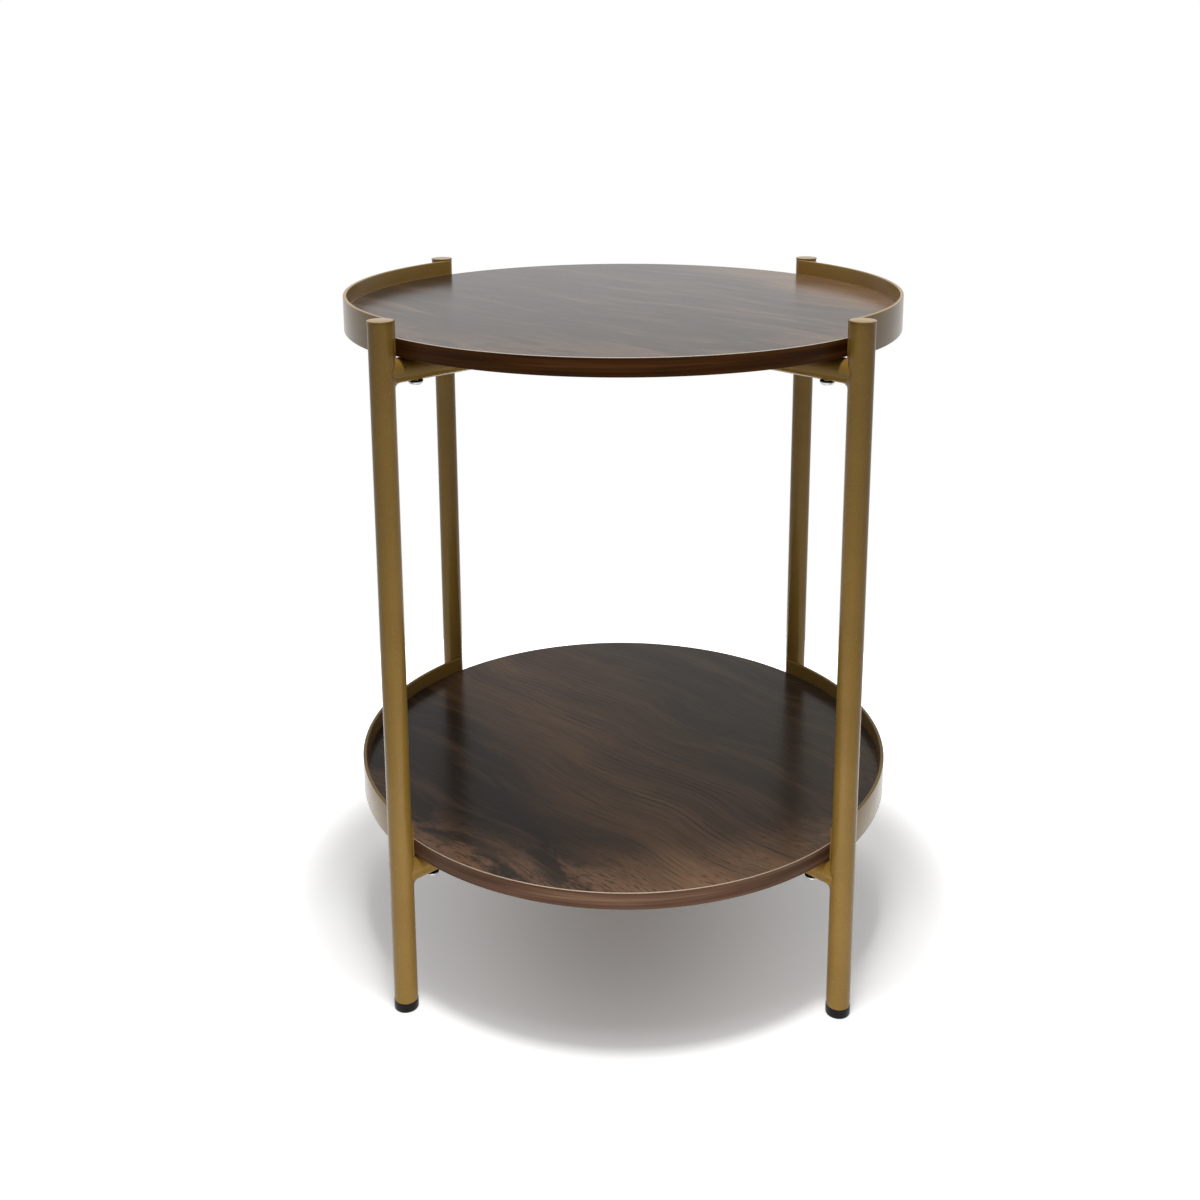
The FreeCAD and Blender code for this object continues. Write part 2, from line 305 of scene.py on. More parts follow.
def walnutMelamine(tier):
    sheet = boardPrint[tier]
    material, tree = newMaterial("walnut_melamine_painted_shading_" + tier)
    place = addNode(tree, "ShaderNodeTexCoord").outputs["Object"]

    # the grain and the planks have slants of their own, and one sway bends both
    slanted = [addNode(tree, "ShaderNodeMapping", {
        "Vector": place, "Rotation": (0.0, 0.0, math.radians(walnutPrint[turn])),
        "Location": sheet["shift"]}).outputs["Vector"] for turn in ("grainTurn", "plankTurn")]
    waver = addNode(tree, "ShaderNodeTexNoise", {
        "Vector": slanted[0], "Scale": 1 / (walnutPrint["swayLengthMm"] * mm),
        "Detail": 1.0, "Roughness": 0.5})
    centred = addNode(tree, "ShaderNodeVectorMath", {0: waver.outputs["Color"], 1: (0.5, 0.5, 0.5)},
                      operation="SUBTRACT")
    sway = addNode(tree, "ShaderNodeVectorMath", {
        0: centred.outputs["Vector"], 1: (0.0, 2 * walnutPrint["swayMm"] * mm, 0.0)}, operation="MULTIPLY")
    grain, plankwise = [addNode(tree, "ShaderNodeVectorMath", {0: way, 1: sway.outputs["Vector"]},
                                operation="ADD").outputs["Vector"] for way in slanted]
    across = addNode(tree, "ShaderNodeSeparateXYZ", {"Vector": plankwise}).outputs["Y"]

    # the planks: colour by the place across them
    planks = walnutPrint["planks"]
    first, last = planks[0][0], planks[-1][0]
    plankPlace = addNode(tree, "ShaderNodeMapRange", {
        "Value": across, "From Min": first * mm, "From Max": last * mm, "To Min": 0.0, "To Max": 1.0})
    plank = addNode(tree, "ShaderNodeValToRGB", {"Fac": plankPlace.outputs["Result"]})
    setRamp(plank, [((spot - first) / (last - first), walnutPrint[tint]) for spot, tint in planks])
    colour = plank.outputs["Color"]
    for kind, tint in (("darkStreaks", "darkColour"), ("paleStreaks", "paleColour"), ("fibre", "poreColour")):
        fibre, shown = grainPattern(tree, grain, kind, sheet[kind])    # the last of them is the fibre
        colour = addNode(tree, "ShaderNodeMix", {"Factor": shown, "A": colour,
                                                 "B": linearColour(walnutPrint[tint])},
                         data_type="RGBA").outputs["Result"]

    # figured grain: wandering lines along the middle of the warm plank, broken here and there. At a
    # scale of 1 the wave node has a line every pi / 10
    ringPlace = addNode(tree, "ShaderNodeVectorMath", {0: grain, 1: (walnutPrint["ringDrawn"], 1.0, 1.0)},
                        operation="MULTIPLY")
    rings = addNode(tree, "ShaderNodeTexWave", {
        "Vector": ringPlace.outputs["Vector"], "Scale": math.pi / 10 / (walnutPrint["ringMm"] * mm),
        "Distortion": 16.0, "Detail": 3.0, "Detail Scale": 0.26, "Detail Roughness": 0.55},
        bands_direction="Y")
    low, high = walnutPrint["ringLines"]
    lines = addNode(tree, "ShaderNodeMapRange", {"Value": rings.outputs["Fac"], "From Min": low,
                                                 "From Max": high, "To Min": 0.0, "To Max": 1.0})
    offMiddle = addNode(tree, "ShaderNodeMath", {0: across}, operation="ABSOLUTE")
    nearMiddle = addNode(tree, "ShaderNodeMapRange", {
        "Value": offMiddle.outputs["Value"], "From Min": walnutPrint["ringNearMm"] * mm,
        "From Max": walnutPrint["ringSpreadMm"] * mm, "To Min": 1.0, "To Max": 0.0})
    _, unbroken = grainPattern(tree, grain, "figure", sheet["figure"])
    ringShare = lines.outputs["Result"]
    for fade in (nearMiddle.outputs["Result"], unbroken):
        ringShare = addNode(tree, "ShaderNodeMath", {0: ringShare, 1: fade},
                            operation="MULTIPLY").outputs["Value"]
    colour = addNode(tree, "ShaderNodeMix", {"Factor": ringShare, "A": colour,
                                             "B": linearColour(walnutPrint["poreColour"])},
                     data_type="RGBA").outputs["Result"]

    # painted light: tan patches along the front rim, lighter where the lamp falls on it, broken by dark lines
    # along the grain
    drawnIn = addNode(tree, "ShaderNodeVectorMath", {0: place, 1: (walnutPrint["litRimNarrow"], 1.0, 0.0)},
                      operation="MULTIPLY")
    outward = addNode(tree, "ShaderNodeVectorMath", {0: drawnIn.outputs["Vector"]}, operation="LENGTH")
    rim = addNode(tree, "ShaderNodeMapRange", {
        "Value": outward.outputs["Value"], "From Min": walnutPrint["litRimFromMm"] * mm,
        "From Max": walnutPrint["litRimToMm"] * mm, "To Min": 0.0, "To Max": sheet["litRim"]})
    depth = addNode(tree, "ShaderNodeSeparateXYZ", {"Vector": place}).outputs["Y"]
    forward = addNode(tree, "ShaderNodeMapRange", {
        "Value": depth, "From Min": 0.0, "From Max": -walnutPrint["litRimFrontMm"] * mm,
        "To Min": 0.0, "To Max": 1.0})
    _, patch = grainPattern(tree, grain, "patches", sheet["patches"])
    litRimShare = rim.outputs["Result"]
    for fade in (forward.outputs["Result"], patch):
        litRimShare = addNode(tree, "ShaderNodeMath", {0: litRimShare, 1: fade},
                            operation="MULTIPLY").outputs["Value"]
    _, rimLineShare = grainPattern(tree, grain, "rimLines", sheet["rimLines"])
    litRimPatch = addNode(tree, "ShaderNodeMix", {"Factor": rimLineShare, "A": linearColour(walnutPrint["litRimColour"]),
                                              "B": linearColour(walnutPrint["rimLineColour"])},
                      data_type="RGBA").outputs["Result"]
    colour = addNode(tree, "ShaderNodeMix", {"Factor": litRimShare, "A": colour, "B": litRimPatch},
                     data_type="RGBA").outputs["Result"]

    least, most = walnutPrint["roughness"]
    rough = addNode(tree, "ShaderNodeMapRange", {"Value": fibre, "To Min": least, "To Max": most})
    bump = addNode(tree, "ShaderNodeBump", {"Height": fibre, "Strength": 0.04,
                                            "Distance": walnutPrint["poreMm"] * mm})
    shader = addNode(tree, "ShaderNodeBsdfPrincipled", {
        "Base Color": colour, "Roughness": rough.outputs["Result"],
        "Specular IOR Level": walnutPrint["specular"], "Normal": bump.outputs["Normal"]})
    addNode(tree, "ShaderNodeOutputMaterial", {"Surface": shader.outputs["BSDF"]})
    return material


# Edge band: 1 mm plastic strip printed with the same walnut, ironed round the board and cut by
# the trimmer. It gives a redder brown with grain that runs round, and a pale line along the upper
# arris, partly where the trimmer cut it and partly a painted highlight. The upper band is painted
# darker as painted shade, and the lower one lighter as painted light thrown up by the floor.
edgeBand = {
    # painted shade and light: the upper band's darker shades stand for the shade on it, the lower's lighter
    # ones for the light the floor throws up. Both pale arris colours are partly painted highlight
    "upper": {"dark": "#3a1f0d", "middle": "#503013", "light": "#684022", "trimAndHighlight": "#e2d6c8"},
    "lower": {"dark": "#4b3426", "middle": "#5e4536", "light": "#725844", "trimAndHighlight": "#c8b4a0"},
    # size along and across in mm, detail and roughness of the noise
    "streak": ((180, 6), 3.0, 0.5),
    "grain": ((60, 1.5), 4.0, 0.6),
    "trimAndHighlightMm": (0.22, 0.55),  # from the arris: where the pale line starts to fade, and its half width
    "trimAndHighlightShare": 0.9,
    "roughness": 0.40,
    "specular": 0.06,
    "poreMm": 0.05,
}


def walnutEdgeBand(tier, arrisPlace):
    # arrisPlace is how far round the band's section, from its lower inner corner, the upper arris lies
    shades = edgeBand[tier]
    material, tree = newMaterial("walnut_edge_band_painted_shading_" + tier)
    strip = addNode(tree, "ShaderNodeUVMap", uv_map="along").outputs["UV"]
    noise = {}
    for kind in ("streak", "grain"):
        (longMm, wideMm), detail, rough = edgeBand[kind]
        stretched = addNode(tree, "ShaderNodeVectorMath", {
            0: strip, 1: (1 / (longMm * mm), 1 / (wideMm * mm), 1.0)}, operation="MULTIPLY")
        noise[kind] = addNode(tree, "ShaderNodeTexNoise", {
            "Vector": stretched.outputs["Vector"], "Scale": 1.0, "Detail": detail,
            "Roughness": rough}).outputs["Fac"]
    tone = setRamp(addNode(tree, "ShaderNodeValToRGB", {"Fac": noise["streak"]}), [
        (0.36, shades["dark"]), (0.50, shades["middle"]), (0.66, shades["light"])])
    grainShare = addNode(tree, "ShaderNodeMapRange", {"Value": noise["grain"], "From Min": 0.48,
                                                      "From Max": 0.70, "To Min": 0.0, "To Max": 0.6})
    body = addNode(tree, "ShaderNodeMix", {"Factor": grainShare.outputs["Result"],
                                           "A": tone.outputs["Color"],
                                           "B": linearColour(shades["dark"])}, data_type="RGBA")
    section = addNode(tree, "ShaderNodeSeparateXYZ", {"Vector": strip})
    past = addNode(tree, "ShaderNodeMath", {0: section.outputs["Y"], 1: arrisPlace}, operation="SUBTRACT")
    offArris = addNode(tree, "ShaderNodeMath", {0: past.outputs["Value"]}, operation="ABSOLUTE")
    # the pale line along the upper arris: partly where the trimmer cut the band, partly a painted highlight
    fadeMm, endMm = edgeBand["trimAndHighlightMm"]
    trimAndHighlightLine = addNode(tree, "ShaderNodeMapRange", {
        "Value": offArris.outputs["Value"], "From Min": fadeMm * mm, "From Max": endMm * mm,
        "To Min": edgeBand["trimAndHighlightShare"], "To Max": 0.0})
    colour = addNode(tree, "ShaderNodeMix", {"Factor": trimAndHighlightLine.outputs["Result"], "A": body.outputs["Result"],
                                             "B": linearColour(shades["trimAndHighlight"])}, data_type="RGBA")
    bump = addNode(tree, "ShaderNodeBump", {"Height": noise["grain"], "Strength": 0.15,
                                            "Distance": edgeBand["poreMm"] * mm})
    shader = addNode(tree, "ShaderNodeBsdfPrincipled", {
        "Base Color": colour.outputs["Result"], "Roughness": edgeBand["roughness"],
        "Specular IOR Level": edgeBand["specular"], "Normal": bump.outputs["Normal"]})
    addNode(tree, "ShaderNodeOutputMaterial", {"Surface": shader.outputs["BSDF"]})
    return material


# Small parts: moulded black polyethylene feet, black rubber washers and pads, and bolts in bright
# zinc plate. Each gives one even tone, faintly scuffed. Roughness is given as least and most, and
# the grain of the scuffs by its size and its height.
smallParts = {
    "black_polyethylene": {"colour": "#0d0c0a", "scuff": "#1a1815", "roughness": (0.28, 0.43),
                           "specular": 0.15, "metallic": 0.0, "grainMm": 1.6, "heightMm": 0.03},
    "black_rubber": {"colour": "#0b0b0b", "scuff": "#191817", "roughness": (0.55, 0.7),
                     "specular": 0.2, "metallic": 0.0, "grainMm": 1.0, "heightMm": 0.03},
    "bright_zinc_plate": {"colour": "#e4e5e4", "scuff": "#c6c8c9", "roughness": (0.37, 0.52),
                          "specular": 0.5, "metallic": 1.0, "grainMm": 0.8, "heightMm": 0.03},
}


def smallPartFinish(name):
    # one colour, scuffed in small clouds that also change the gloss
    finish = smallParts[name]
    material, tree = newMaterial(name)
    place = addNode(tree, "ShaderNodeTexCoord").outputs["Object"]
    grit = addNode(tree, "ShaderNodeTexNoise", {"Vector": place, "Scale": 1 / (finish["grainMm"] * mm),
                                                "Detail": 3.0, "Roughness": 0.55}).outputs["Fac"]
    scuffed = addNode(tree, "ShaderNodeMapRange", {"Value": grit, "From Min": 0.4, "From Max": 0.7,
                                                   "To Min": 0.0, "To Max": 0.8})
    colour = addNode(tree, "ShaderNodeMix", {"Factor": scuffed.outputs["Result"],
                                             "A": linearColour(finish["colour"]),
                                             "B": linearColour(finish["scuff"])}, data_type="RGBA")
    least, most = finish["roughness"]
    rough = addNode(tree, "ShaderNodeMapRange", {"Value": grit, "To Min": least, "To Max": most})
    bump = addNode(tree, "ShaderNodeBump", {"Height": grit, "Strength": 0.1,
                                            "Distance": finish["heightMm"] * mm})
    shader = addNode(tree, "ShaderNodeBsdfPrincipled", {
        "Base Color": colour.outputs["Result"], "Metallic": finish["metallic"],
        "Specular IOR Level": finish["specular"], "Roughness": rough.outputs["Result"],
        "Normal": bump.outputs["Normal"]})
    addNode(tree, "ShaderNodeOutputMaterial", {"Surface": shader.outputs["BSDF"]})
    return material


gold = goldPowderCoat()
laminate = {tier: walnutMelamine(tier) for tier in tiers}
footPlastic = smallPartFinish("black_polyethylene")
rubber = smallPartFinish("black_rubber")
zinc = smallPartFinish("bright_zinc_plate")
print("materials made")


# Places of the pieces, from the frame, and the sizes that no node's box gives

plainMm = {"rail": 3, "bolt": 6, "boltHead": 12, "boltHeadHeight": 3.6}


def boxOf(node):
    low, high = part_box(node)
    return np.array(low), np.array(high)


def legAxis(corner):
    # a leg's middle in plan, its radius, and the heights where it starts and ends
    low, high = boxOf("leg_" + corner)
    return ((low + high) / 2)[:2], (high[0] - low[0]) / 2, low[2], high[2]


def legWay(corner):
    # how far a leg's axis stands from the table's, and the level way there
    way = np.array([*legAxis(corner)[0], 0.0])
    return np.linalg.norm(way), unit(way)


def tubeAxis(tier, name="full"):
    # a crossed tube's radius, and the height of its axis
    low, high = boxOf(f"{tier}_cross_tube_{name}")
    return (high[2] - low[2]) / 2, (high[2] + low[2]) / 2


upward = np.array([0.0, 0.0, 1.0])
_, boardHigh = boxOf("upper_board")
boardRadius = boardHigh[0]


def finishPiece(piece, slotName, *nodes):
    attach(piece, "root")
    if nodes:
        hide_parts(*nodes)


# Boards: a melamine-faced panel inside its edge band

boards = {
    "bandMm": 1.0,           # thickness of the edge band
    "arrisMm": 0.6,          # radius of its trimmed arrises
    "bevelMm": 0.15,         # of the panel's upper edge, inside the band
    "steps": 256,
}


def bandSection(bottom, top):
    # (radius, height) from the lower inner corner round the outside to the upper inner one
    inner, arris = boardRadius - boards["bandMm"] * mm, boards["arrisMm"] * mm
    return np.concatenate([
        [(inner, bottom)],
        roundedCorner((boardRadius - arris, bottom + arris), arris, 270, 360),
        roundedCorner((boardRadius - arris, top - arris), arris, 0, 90),
        [(inner, top)],
    ])


def makeBoard(tier):
    low, high = boxOf(tier + "_board")
    # the panel and the band are each a section turned round the table's axis
    inner, bevel = boardRadius - boards["bandMm"] * mm, boards["bevelMm"] * mm
    profile = np.array([(0, low[2]), (inner, low[2]), (inner, high[2] - bevel),
                        (inner - bevel, high[2]), (0, high[2])])
    points, faces = turned(profile, (0, 0), boards["steps"], False)
    panel = makePiece(tier + "_board_panel", points, faces, laminate[tier])
    finishPiece(panel, "brown_wood", tier + "_board")

    section = bandSection(low[2], high[2])
    points, faces = turned(section, (0, 0), boards["steps"], True)
    # the strip's own map: u is the way round the board, folded so that it has no seam, and v the way
    # round the section. The upper arris is halfway round the section's second rounded corner
    lengths = np.concatenate([[0.0], np.cumsum(np.linalg.norm(np.diff(section, axis=0), axis=1))])
    arrisPlace = (lengths[1 + cornerPoints] + lengths[2 * cornerPoints]) / 2
    around = np.arctan2(points[:, 1], points[:, 0])
    uv = np.stack([boardRadius * np.abs(around), np.tile(lengths, boards["steps"])], -1)
    band = makePiece(tier + "_board_edge_band", points, faces, walnutEdgeBand(tier, arrisPlace), uv=uv)
    finishPiece(band, "brown_wood")


# Rails: 30 x 3 mm flat bar rolled to the board's curve

rails = {"edgeMm": 0.7, "steps": 97}


def makeRail(tier, side):
    node = f"{tier}_rail_{side}"
    low, high = boxOf(node)
    outward = 1 if side == "right" else -1
    outer = max(abs(low[0]), abs(high[0]))
    inner = outer - plainMm["rail"] * mm
    halfAngle = math.asin(high[1] / outer)
    # section (r, h) carried round the arc: (x, y, z) = (r cos a, r sin a, h), a from -half to half,
    # with x the other way for the left rail
    section = roundedBar((inner, low[2]), (outer, high[2]), rails["edgeMm"] * mm)
    angle = np.linspace(-halfAngle, halfAngle, rails["steps"])[:, None]
    r, h = section[:, 0][None, :], section[:, 1][None, :]
    sections = np.stack([outward * r * np.cos(angle), r * np.sin(angle), h + 0 * angle], -1)
    bar = makePiece(node + "_bar", *cappedSweep(sections), gold)
    finishPiece(bar, "gold_paint", node)


# Legs, the discs that close them, and feet

legs = {
    "wallMm": 1.2,
    "steps": 96,
    "capRimMm": 0.45,        # radius of the discs' rims
    "footRimMm": 1.1,        # of the feet's toes
    "footShoulderMm": 0.5,   # and of their upper edges
    "stemPlayMm": 0.05,      # from a foot's stem to the tube's bore
}


def makeLeg(corner):
    # the wall's rectangle turned round the leg's axis
    centre, radius, bottom, top = legAxis(corner)
    bore = radius - legs["wallMm"] * mm
    profile = np.array([(radius, bottom), (radius, top), (bore, top), (bore, bottom)])
    points, faces = turned(profile, centre, legs["steps"], True)
    tube = makePiece(f"leg_{corner}_tube", points, faces, gold)
    finishPiece(tube, "gold_paint", "leg_" + corner)


def makeCaps():
    # a disc's half section, with rounded rims, turned round each leg's axis
    low, high = boxOf("leg_caps")
    rim = legs["capRimMm"] * mm
    parts = []
    for corner in corners:
        centre, _, _, _ = legAxis(corner)
        capRadius = high[0] - abs(centre[0])
        profile = np.concatenate([
            [(0, low[2])],
            roundedCorner((capRadius - rim, low[2] + rim), rim, 270, 360),
            roundedCorner((capRadius - rim, high[2] - rim), rim, 0, 90),
            [(0, high[2])],
        ])
        parts.append(turned(profile, centre, legs["steps"], False))
    caps = makePiece("leg_cap_discs", *joined(parts), gold)
    finishPiece(caps, "gold_paint", "leg_caps")


def makeFeet():
    # a foot's half section, from its toe up to its shoulder and its stem, turned round each leg's axis
    _, high = boxOf("feet")
    rim, shoulder = legs["footRimMm"] * mm, legs["footShoulderMm"] * mm
    parts = []
    for corner in corners:
        centre, radius, bottom, _ = legAxis(corner)
        footRadius = high[0] - abs(centre[0])
        stem = radius - (legs["wallMm"] + legs["stemPlayMm"]) * mm
        profile = np.concatenate([
            [(0, 0)],
            roundedCorner((footRadius - rim, rim), rim, 270, 360),
            roundedCorner((footRadius - shoulder, bottom - shoulder), shoulder, 0, 90),
            [(stem, bottom), (stem, high[2]), (0, high[2])],
        ])
        parts.append(turned(profile, centre, legs["steps"], False))
    plugs = makePiece("leg_foot_plugs", *joined(parts), footPlastic)
    finishPiece(plugs, "black_plastic", "feet")


# Crossed tubes, coped at the legs and at the middle

crossTubes = {
    "wallMm": 1.2,
    "steps": 96,
    "rows": 13,
    "sawMm": 0.5,            # how much larger the coping saw's radius is than the tube it fits
    "gapMm": 0.05,           # left at the root of each weld
    # the leg that each tube runs to: the full one from the leg opposite, the others from the middle
    "to": {"full": "back_right", "front": "front_right", "back": "back_left"},
}


def copeDepth(offset, sawRadius):
    # how far the saw's cylinder stands out over its axis, at an offset to its side:
    # sqrt(saw^2 - offset^2)
    return np.sqrt(sawRadius ** 2 - offset ** 2)


def makeCrossTube(tier, name):
    corner = crossTubes["to"][name]
    radius, axisHeight = tubeAxis(tier, name)
    _, legRadius, _, _ = legAxis(corner)
    reach, way = legWay(corner)
    side = np.array([-way[1], way[0], 0])
    saw, gap = crossTubes["sawMm"] * mm, crossTubes["gapMm"] * mm
    # places round the tube, from its top
    aside, above = np.sin(fullTurn(crossTubes["steps"])), np.cos(fullTurn(crossTubes["steps"]))

    def ends(tubeRadius):
        # where the tube's wall starts and ends, along its axis from the middle, at each place round it
        atLeg = reach + saw - gap - copeDepth(tubeRadius * aside, legRadius + saw)
        if name == "full":
            return -atLeg, atLeg
        # against the full tube: the distance d with (d way + r sin a side) . square = the saw's depth,
        # where square is the level way square to the full tube
        _, mainWay = legWay(crossTubes["to"]["full"])
        square = unit(way - (way @ mainWay) * mainWay)
        stand = copeDepth(tubeRadius * above, radius + saw)
        lean = tubeRadius * aside * (side @ square)
        return (stand - lean) / (way @ square) - saw + gap, atLeg

    def ring(tubeRadius, distance):
        # d way + r (sin a side + cos a up)
        return (distance[:, None] * way + tubeRadius * aside[:, None] * side
                + tubeRadius * above[:, None] * upward)

    bore = radius - crossTubes["wallMm"] * mm
    outerStart, outerEnd = ends(radius)
    innerStart, innerEnd = ends(bore)
    shares = np.linspace(0, 1, crossTubes["rows"])
    rings = [ring(radius, outerStart + share * (outerEnd - outerStart)) for share in shares]
    rings += [ring(bore, innerEnd + share * (innerStart - innerEnd)) for share in shares]
    points = np.stack(rings, 1) + axisHeight * upward
    faces = gridFaces(crossTubes["steps"], len(rings), True, True)
    tube = makePiece(f"{tier}_cross_tube_{name}_coped", points.reshape(-1, 3), faces, gold)
    finishPiece(tube, "gold_paint", f"{tier}_cross_tube_{name}")


# Weld beads

welds = {
    "legBeadMm": 5.8,        # leg length of the bead under a crossed tube, on the leg and on the tube
    "crossBeadMm": 4.0,      # of the beads where the tubes cross
    "endMm": 0.15,           # what is left of that at a bead's ends
    "taper": 0.6,            # 0.5 gives a bead round ends, 1 pointed ones
    "sinkMm": 0.6,           # how far the back of a bead lies inside the metal
    "spreadDeg": 66,         # how far round the tube a bead runs, each way
    "rows": 33,
    "ribs": 9,
    "railBeadMm": 6.0,       # how far from the line where rail and leg touch the bead's foot lies
    "railShoulder": 0.72,    # and where it meets the leg, as a share of that
    # its hollow is drawn to a point at this share of that, and this far off the rail in mm
    "railGroove": (0.8, 0.15),
    "railEndMm": 2.5,        # from the rail's edge to the end of its bead
    "railTip": 0.02,         # size of its ends, as a share
    "railBlunt": 8,          # the higher, the shorter those ends
    "railSinkMm": 0.25,      # how far its back lies inside the metal
    "railRows": 25,
    "railRibs": 6,
}


def weldBead(origin, branch, along, radius, leg):
    # A hollow bead between two equal tubes. Round the branch tube, at the angle t from its corner,
    # the joint line is P = origin + d branch + r (cos t side + sin t normal). Each rib is a quadratic
    # curve from P + L branch to P + L along with P as its control, and L = leg (1 - (t / spread)^2)^taper.
    side = unit(along - (along @ branch) * branch)
    normal = np.cross(branch, side)
    square = unit(branch - (branch @ along) * along)
    spread = math.radians(welds["spreadDeg"])
    t = np.linspace(-spread, spread, welds["rows"])[:, None]
    distance = radius * (np.cos(t) - np.cos(t) * (side @ square)) / (branch @ square)
    joint = origin + distance * branch + radius * (np.cos(t) * side + np.sin(t) * normal)
    length = leg * np.maximum(1 - (t / spread) ** 2, 0.0) ** welds["taper"] + welds["endMm"] * mm
    onBranch, onMain = joint + length * branch, joint + length * along
    bend = np.linspace(0, 1, welds["ribs"])
    ribs = [(1 - s) ** 2 * onBranch + 2 * s * (1 - s) * joint + s ** 2 * onMain for s in bend]
    sink = np.minimum(welds["sinkMm"] * mm, length)
    ribs += [onMain - sink * square, joint - sink * (square + side), onBranch - sink * side]
    return cappedSweep(np.stack(ribs, 1))


def makeLegWelds(tier):
    radius, axisHeight = tubeAxis(tier)
    parts = []
    for corner in corners:
        reach, way = legWay(corner)
        origin = reach * way + axisHeight * upward
        parts.append(weldBead(origin, -way, -upward, radius, welds["legBeadMm"] * mm))
    finishPiece(makePiece(tier + "_leg_welds", *joined(parts), gold), "gold_paint")


def makeCrossWelds(tier):
    radius, axisHeight = tubeAxis(tier)
    _, mainWay = legWay(crossTubes["to"]["full"])
    parts = []
    for name in ("front", "back"):
        _, branch = legWay(crossTubes["to"][name])
        for along in (mainWay, -mainWay):
            parts.append(weldBead(axisHeight * upward, branch, along, radius, welds["crossBeadMm"] * mm))
    finishPiece(makePiece(tier + "_crossing_welds", *joined(parts), gold), "gold_paint")


def railWeld(corner, bottom, top, railRadius):
    # A bead in the groove between a rail's outer face and a leg. In plan, at the distance s from the
    # touch line, the rail's face is at s^2 / (2 rail) inside the tangent and the leg's at
    # R - sqrt(R^2 - s^2) outside it; the bead's face is a hollow curve from one to the other.
    _, legRadius, _, _ = legAxis(corner)
    _, radial = legWay(corner)
    tangent = np.array([-radial[1], radial[0], 0])
    tangent *= -corners[corner][1] * np.sign(tangent[1])        # towards the middle of the rail

    def railFace(s):
        return railRadius - s ** 2 / (2 * railRadius)

    def legFace(s):
        return railRadius + legRadius - np.sqrt(legRadius ** 2 - s ** 2)

    end = welds["railEndMm"] * mm
    height = np.linspace(bottom + end, top - end, welds["railRows"])[:, None]
    middle, half = (bottom + top) / 2, (top - bottom) / 2 - end
    # full over most of its height, and rounded off to the tip at both ends
    fullness = np.sqrt(np.maximum(1 - ((height - middle) / half) ** welds["railBlunt"], 0.0))
    foot = welds["railBeadMm"] * mm * (fullness * (1 - welds["railTip"]) + welds["railTip"])
    shoulder = welds["railShoulder"] * foot
    grooveShare, grooveMm = welds["railGroove"]
    grooveOut, grooveDeep = grooveShare * shoulder, railFace(foot) + grooveMm * mm
    sunk = welds["railSinkMm"] * mm
    spots = [(foot * 0, railRadius - sunk + 0 * foot), (foot, railFace(foot) - sunk)]
    for share in np.linspace(0, 1, welds["railRibs"]):
        # quadratic curve from the rail's face to the leg's, with its control deep in the groove
        fromRail, control, toLeg = (1 - share) ** 2, 2 * share * (1 - share), share ** 2
        spots.append((fromRail * foot + control * grooveOut + toLeg * shoulder,
                      fromRail * railFace(foot) + control * grooveDeep + toLeg * legFace(shoulder)))
    spots += [(shoulder, legFace(shoulder) + sunk), (foot * 0, railRadius + sunk + 0 * foot)]
    return cappedSweep(np.stack([s * tangent + r * radial + height * upward for s, r in spots], 1))


def makeRailWelds(tier):
    parts = []
    for corner, (side, _) in corners.items():
        low, high = boxOf(f"{tier}_rail_{'right' if side > 0 else 'left'}")
        parts.append(railWeld(corner, low[2], high[2], max(abs(low[0]), abs(high[0]))))
    finishPiece(makePiece(tier + "_rail_welds", *joined(parts), gold), "gold_paint")


# Board bolts: black rubber washers under bright pan heads with a hexagon socket

bolts = {
    "headMm": 11.2,
    "headHeightMm": 2.4,
    "rimShare": 0.35,        # how much of that height is the straight rim under the dome
    "domeRows": 7,
    "flatShare": 1.35,       # the flat round the socket, against the socket
    "socketMm": 4.0,
    "socketDepthMm": 1.4,
    "drillPointMm": 0.4,     # how much deeper the socket is at its middle
    "washerMm": 1.2,
    "washerRimMm": 0.3,
    "creaseDeg": 35,
    "steps": 48,
}


def boltAxes(tier):
    # the four bolts' places, on the ways to the legs, from the node's box less the head's radius
    low, high = boxOf(tier + "_board_bolts")
    _, way = legWay("back_right")
    reach = (high[0] - plainMm["boltHead"] / 2 * mm) / way[0]
    for side, depth in corners.values():
        yield (side * reach * way[0], depth * reach * way[1]), low[2], high[2]


